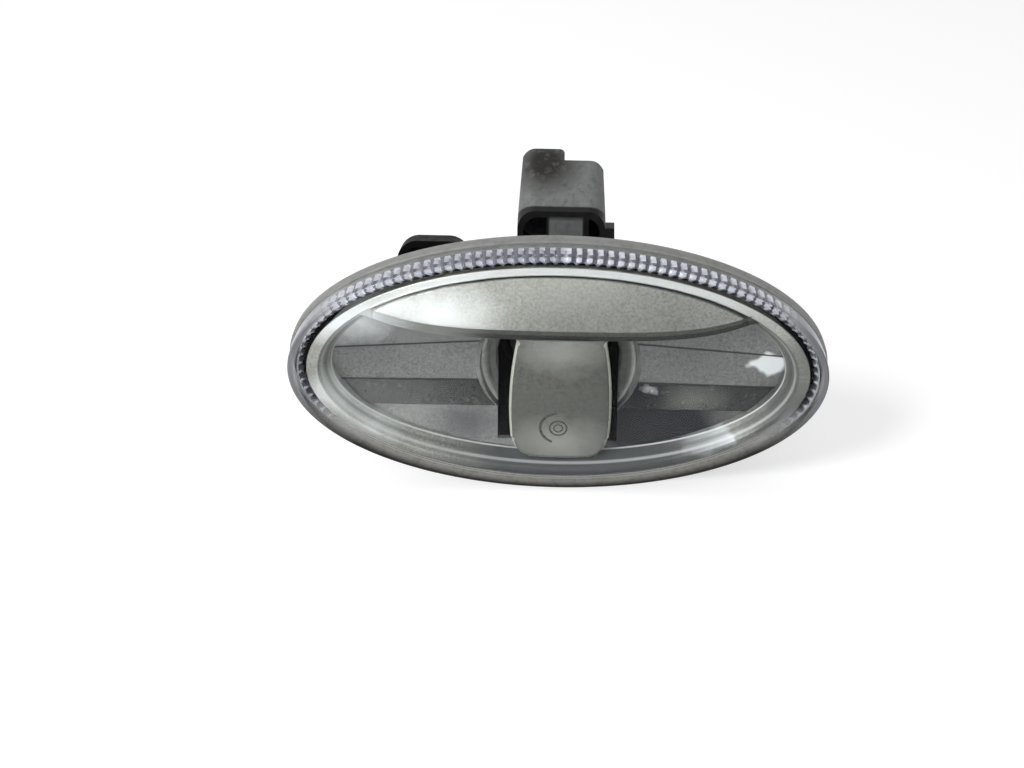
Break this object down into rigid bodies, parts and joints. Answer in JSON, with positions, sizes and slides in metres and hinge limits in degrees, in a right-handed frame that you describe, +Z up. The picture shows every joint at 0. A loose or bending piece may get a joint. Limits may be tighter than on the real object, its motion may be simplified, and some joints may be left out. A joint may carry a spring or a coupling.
{
  "type": "side repeater lamp",
  "caption": "Oval clear side repeater lamp with a satin reflector, hood and bulb shield, a prism ring, and a twist-in bulb holder with an inclined connector.",
  "frame": {"origin": "centre of the gasket face that seats on the car panel", "axes": "+X along the lamp to the right as seen from the front, -Y out through the lens, +Z up"},
  "size_m": [0.1166, 0.0585, 0.062],
  "materials": {
    "clear_lens": "clear moulded polycarbonate",
    "satin_reflector": "satin grey, silvered",
    "black_housing": "moulded, matt",
    "gasket_foam": "closed-cell foam",
    "grey_holder": "moulded, dusty",
    "seal_rubber": "smooth",
    "terminal_brass": "stamped, tinned",
    "bulb_glass": "clear blown glass",
    "filament_wire": "drawn wire",
    "lead_wire": "drawn wire"
  },
  "bodies": {
    "lamp": {"lens": "clear_lens", "reflector": "satin_reflector", "housing": "black_housing", "panel_gasket": "gasket_foam"},
    "bulb_carrier": {"bulb_holder": "grey_holder", "holder_seal": "seal_rubber", "terminal_left": "terminal_brass", "terminal_right": "terminal_brass", "bulb_glass": "bulb_glass", "bulb_filament": "filament_wire", "bulb_lead_left": "lead_wire", "bulb_lead_right": "lead_wire"}
  },
  "joints": [
    {"name": "holder_turn", "type": "hinge", "parent": "lamp", "child": "bulb_carrier", "pos_m": [0, 0.0175, 0], "axis": [0, 1, 0], "range_deg": [0, 45]}
  ]
}
